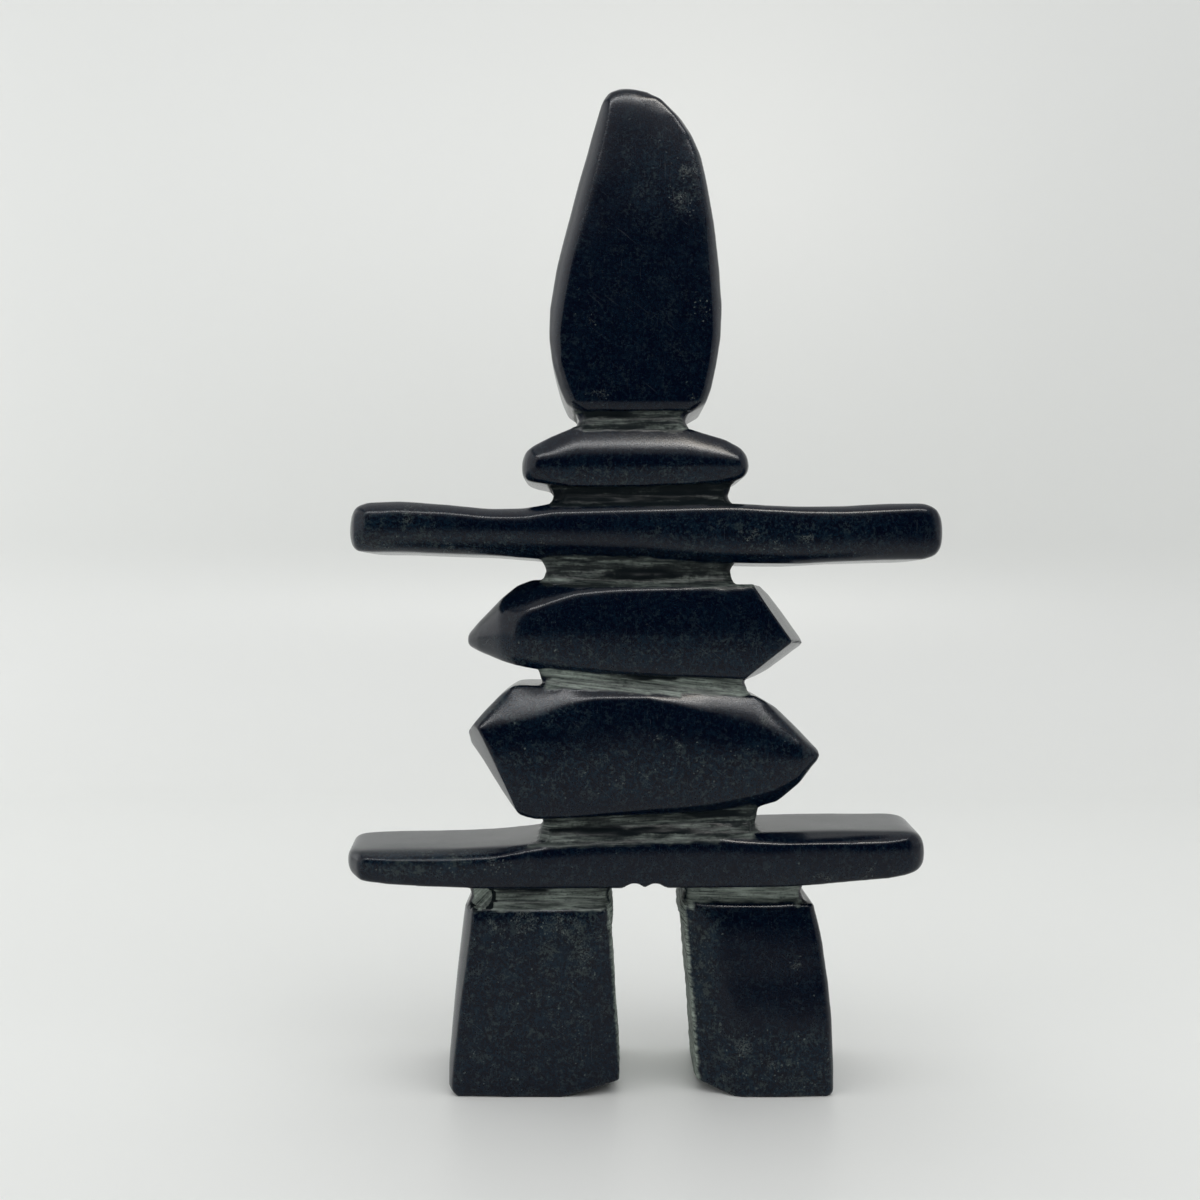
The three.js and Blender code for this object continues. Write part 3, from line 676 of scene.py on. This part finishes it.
def noted(name, output=2):
    """A note kept with the mesh: a number, or a vector from output 1."""
    return start.node("Attribute", {"attribute_name": name}, output=output)


place = start.node("TexCoord", output=3)
stroke_place = noted("stroke", 1)
filed_mask, pale, dirt_and_shade = noted("filed"), noted("pale"), noted("dirt_and_shade")
cloud_mask, worn = noted("cloud"), noted("worn")
print("the material reads", len(tree.nodes) - 2, "places and notes")

# %% Polished stone
broad = noise_at(place, 18.0, 2.0, 0.5)
mottle = noise_at(place, 3.4, 4.0, 0.6)
grain = noise_at(place, 0.85, 3.0, 0.62, shift=3.1)
fine = noise_at(place, 0.34, 2.0, 0.6, shift=7.7)
# dark grains of three sizes, lighter where the polish is worn
tone = (mottle * 0.22 + grain * 0.48 + fine * 0.30).between(0.42, 0.60) * (0.30 + worn * 1.3)
body = tone.blend(DEEPEST, WORN_STONE)
# a few paler grains, more of them in dusty areas
dusty = noise_at(place, 2.8, 3.0, 0.6, shift=27.0)
grains = (grain * 0.6 + fine * 0.4 + (dusty - 0.5) * 0.5 + worn * 0.03).between(0.53, 0.66)
body = (grains * (0.12 + worn * 1.2)).blend(body, GRAINS)
# pits, where grains broke out
pits = 1 - (grain * 0.5 + fine * 0.5 - worn * 0.06).between(0.32, 0.40)
body = (pits * worn).blend(body, PITS)
print("nodes for the polished stone:", len(tree.nodes))

# %% Pale flecks, haze and scratches in the polish
patches = noise_at(place, 2.4, 3.0, 0.6, shift=17.0)
gathered = cloud_mask * (patches - 0.30) * 1.6
fine_dots = dots_at(place, 0.80, gathered + worn * mottle * 0.40 + 0.02, 12.3)
large_dots = dots_at(place, 1.40, gathered * 0.50 + worn * mottle * 0.10 + 0.005, 31.7)
flecks = (fine_dots * 0.80 + large_dots * 0.75) * fine.between(0.36, 0.58)
body = flecks.blend(body, FLECKS)

hazy = (cloud_mask * (0.45 + patches) + mottle - 0.5).between(0.66, 1.05)
haze = hazy * fine.between(0.42, 0.6)
body = (haze * 0.55).blend(body, HAZE)

upright = noise_at(place, 0.35, 1.0, 0.5, (1, 1, 14), 5.0)
slanting = noise_at(place, 0.40, 1.0, 0.5, (1, 1, 26), 9.0, turn=52.0)
scratch = upright.between(0.66, 0.78) * broad.between(0.42, 0.60) + slanting.between(0.68, 0.80) * 0.8
body = (scratch * 0.34).blend(body, SCRATCHES)
print("nodes with flecks, haze and scratches:", len(tree.nodes))

# %% Filed stone
streak = noise_at(stroke_place, 0.75, 3.0, 0.66, (16, 1, 1), 1.0, unit=1.0)
hairs = noise_at(stroke_place, 0.42, 2.0, 0.6, (20, 1, 1), 4.0, unit=1.0)
smear = noise_at(stroke_place, 1.3, 4.0, 0.65, (7, 1, 1), 8.0, unit=1.0)
# dark smears on the filed stone: dirt, and painted shade where the grooves lie under the stones
dirt_and_shade_mask = (smear * 0.7 + streak * 0.3 + grain * 0.3 + dirt_and_shade * 0.60 - 0.44).between(0.38, 0.66)
cut_tone = (streak * 0.42 + hairs * 0.36 + grain * 0.22).between(0.37, 0.63)
cut = cut_tone.blend(DARK_CUT, PALE_CUT)
dull = (dirt_and_shade_mask * 0.94).blend(cut, SMEARED_DIRT_AND_SHADE)
# a less pale groove bottom turns dim: painted shade and darker filed stone
shaded = pale.blend(DIM_AND_SHADED_CUT, dull)
print("nodes with the filed stone:", len(tree.nodes))

# %% Both together
colour = filed_mask.blend(body, shaded)
tree.links.new(colour.socket, shader.inputs["Base Color"])

polished = mottle * 0.07 + worn * 0.12 + 0.135 + flecks * 0.20 + haze * 0.2 + scratch * 0.1
roughness = filed_mask * (0.66 - polished - dirt_and_shade_mask * 0.34) + polished
tree.links.new(roughness.socket, shader.inputs["Roughness"])
shader.inputs["IOR"].default_value = 1.30  # a soft polish mirrors less than glass does
print("nodes with both finishes:", len(tree.nodes))

# %% Relief too fine for the mesh
BUMP_DEPTH = 0.09 * MM

smooth_relief = grain * 0.22 + fine * 0.10 + worn * fine * 0.5
cut_relief = (streak * 1.5 + hairs * 0.9 + smear * 0.6) * (1 - dirt_and_shade_mask * 0.75)
relief = smooth_relief * (1 - filed_mask) + cut_relief * filed_mask
bump = start.node("Bump", {}, {"Height": relief, "Distance": BUMP_DEPTH, "Strength": 0.6})
tree.links.new(bump.socket, shader.inputs["Normal"])
print("nodes with relief:", len(tree.nodes))

# %% [markdown]
# Dirt and painted shade that don't shine
#
# Polishing paste and handling leave dry dirt in the grooves, and the grooves under the stones lie in
# shade; both are painted here as one dark colour. A darker colour alone isn't enough, because even a
# weak gloss is brighter than the colour of something so dark. So the dirt and painted shade is a
# shader of its own without any gloss, laid over the filed stone where the notes say it is dark.

# %% Dry dirt and painted shade, packed into the grooves
dirt_and_shade_shader = tree.nodes.new("ShaderNodeBsdfPrincipled")
dirt_and_shade_shader.inputs["Base Color"].default_value = DRY_DIRT_AND_SHADE
dirt_and_shade_shader.inputs["Roughness"].default_value = 0.95
dirt_and_shade_shader.inputs["Specular IOR Level"].default_value = 0.0
# a matte dark layer: dirt, and painted shade in the grooves under the stones
packed_dirt_and_shade = filed_mask * dirt_and_shade_mask * (dirt_and_shade - 0.35).between(0.0, 0.45) * 0.9
stone_surface = Wire(tree, shader.outputs["BSDF"])
dirt_and_shade_surface = Wire(tree, dirt_and_shade_shader.outputs["BSDF"])
surface = start.node("MixShader", {}, {0: packed_dirt_and_shade, 1: stone_surface, 2: dirt_and_shade_surface})
tree.links.new(surface.socket, tree.nodes["Material Output"].inputs["Surface"])
print("nodes in the whole material:", len(tree.nodes))

# %% The figure takes the stone's place
figure.data.materials.clear()
figure.data.materials.append(stone)
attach(figure, "root")
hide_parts("inukshuk")
print(figure.name, "has", len(figure.data.polygons), "faces and the material", stone.name)

# %% [markdown]
# A white tent with a pale floor
#
# The stone is a dark mirror, so its look is made by what stands round it. The figure stands in a
# white tent: bright sides give the pale rims, the floor gives the grey lower bands, and the dark
# opening towards the camera gives the black of the front faces.

# %% Floor and wall in one sweep
FLOOR_FRONT = -1.6  # metres, like all sizes of the tent
FLOOR_BACK = 0.42
CURVE = 0.16
CURVE_STEPS = 24
WALL_TOP = 1.6
HALF_WIDTH = 1.7

sweep = bmesh.new()
front = sweep.verts.new((-HALF_WIDTH, FLOOR_FRONT, 0))
back = sweep.verts.new((-HALF_WIDTH, FLOOR_BACK, 0))
sweep.edges.new((front, back))
bmesh.ops.spin(sweep, geom=[back], cent=(0, FLOOR_BACK, CURVE), axis=(1, 0, 0),
               angle=math.radians(90), steps=CURVE_STEPS)
highest = max(sweep.verts, key=lambda vert: vert.co.z)
upward = bmesh.ops.extrude_vert_indiv(sweep, verts=[highest])
bmesh.ops.translate(sweep, verts=upward["verts"], vec=(0, 0, WALL_TOP))
across = bmesh.ops.extrude_edge_only(sweep, edges=sweep.edges[:])
moved = [item for item in across["geom"] if isinstance(item, bmesh.types.BMVert)]
bmesh.ops.translate(sweep, verts=moved, vec=(2 * HALF_WIDTH, 0, 0))
bmesh.ops.recalc_face_normals(sweep, faces=sweep.faces)
backdrop = object_from(sweep, "tent_floor")
backdrop.data.shade_smooth()
print("floor and wall:", len(backdrop.data.polygons), "faces")


# %% White paper
def plain_material(name, colour, roughness):
    made = bpy.data.materials.new(name)
    made.use_nodes = True
    plain_shader = made.node_tree.nodes["Principled BSDF"]
    plain_shader.inputs["Base Color"].default_value = colour
    plain_shader.inputs["Roughness"].default_value = roughness
    return made


backdrop.data.materials.append(plain_material("white_paper", rgb(0.80, 0.81, 0.79), 0.42))
print("the floor is", backdrop.data.materials[0].name)

# %% [markdown]
# Lamps outside the tent
#
# Broad panels stand for the lit cloth and light everything. The bright lines along the polished
# edges come from smaller lamps high in front, and a lamp strong enough for such a line would flood
# the paper. So those lamps are seen only in the polish, and the fill in front is not mirrored.


# %% Lights
def panel(name, place, aim, width, height, power):
    """A flat lamp with its size in metres and its power in watts, turned to its aim."""
    light = bpy.data.lights.new(name, "AREA")
    light.shape = "RECTANGLE"
    light.size = width
    light.size_y = height
    light.energy = power
    made = bpy.data.objects.new(name, light)
    made.location = place
    made.rotation_mode = "QUATERNION"
    made.rotation_quaternion = (Vector(aim) - Vector(place)).to_track_quat("-Z", "Y")
    bpy.context.scene.collection.objects.link(made)
    return made


panel("tent_top", (0.06, -0.10, 0.95), (0.06, -0.10, 0), 1.5, 1.5, 6.7)
panel("tent_left", (-0.85, -0.12, 0.42), (0, -0.12, 0.12), 1.5, 0.8, 5.0)
panel("tent_right", (0.85, 0.05, 0.42), (0, 0.05, 0.12), 1.2, 0.8, 1.8)
fill = panel("floor_fill", (0.28, -0.38, 0.46), (0.05, -0.12, 0), 0.6, 0.3, 0.66)
fill.visible_glossy = False
lamps = [
    panel("lamp_cloth", (0.0, -0.67, 0.895), (0, 0, 0.12), 1.4, 0.23, 6.0),
    panel("lamp_hem", (0.0, -0.85, 0.70), (0, 0, 0.12), 1.4, 0.20, 0.7),
    panel("lamp_row", (0.0, -0.62, 0.87), (0, 0, 0.12), 1.4, 0.02, 3.0),
]
window = panel("lamp_window", (0.18, -0.56, 0.90), (0, 0, 0.15), 0.22, 0.16, 2.0)
window.data.color = (1.0, 0.92, 0.80)
for lamp in (*lamps, window):
    lamp.visible_diffuse = False
print("lamps seen only in the polish:", [lamp.name for lamp in (*lamps, window)])

# %% The air of the tent
world = bpy.data.worlds.new("tent_air")
world.use_nodes = True
air = world.node_tree.nodes["Background"]
air.inputs["Color"].default_value = rgb(0.95, 0.97, 1.0)
air.inputs["Strength"].default_value = 0.22
bpy.context.scene.world = world
print("strength of the air's light:", air.inputs["Strength"].default_value)

# %% [markdown]
# The dark opening
#
# The front faces stand upright, so they mirror what is level with them: the dark room behind the
# camera. A large black card does the same here. It is seen only by mirror rays, so it neither hides
# the figure nor takes light from the floor.

# %% The dark opening that the camera looks through
CARD_WIDTH, CARD_HEIGHT = 1.9, 0.85
CARD_PLACE = (0.15, -1.0, 0.43)
UPRIGHT = Matrix.Rotation(math.radians(90), 3, "X")

card = bmesh.new()
bmesh.ops.create_grid(card, x_segments=1, y_segments=1, size=0.5)
bmesh.ops.rotate(card, verts=card.verts, cent=(0, 0, 0), matrix=UPRIGHT)
bmesh.ops.scale(card, verts=card.verts, vec=(CARD_WIDTH, 1, CARD_HEIGHT))
bmesh.ops.translate(card, verts=card.verts, vec=CARD_PLACE)
opening = object_from(card, "tent_opening")
opening.data.materials.append(plain_material("dark_room", rgb(0.004, 0.004, 0.005), 1.0))
opening.visible_camera = False
opening.visible_diffuse = False
opening.visible_shadow = False
print("dark opening in metres:", CARD_WIDTH, "by", CARD_HEIGHT)
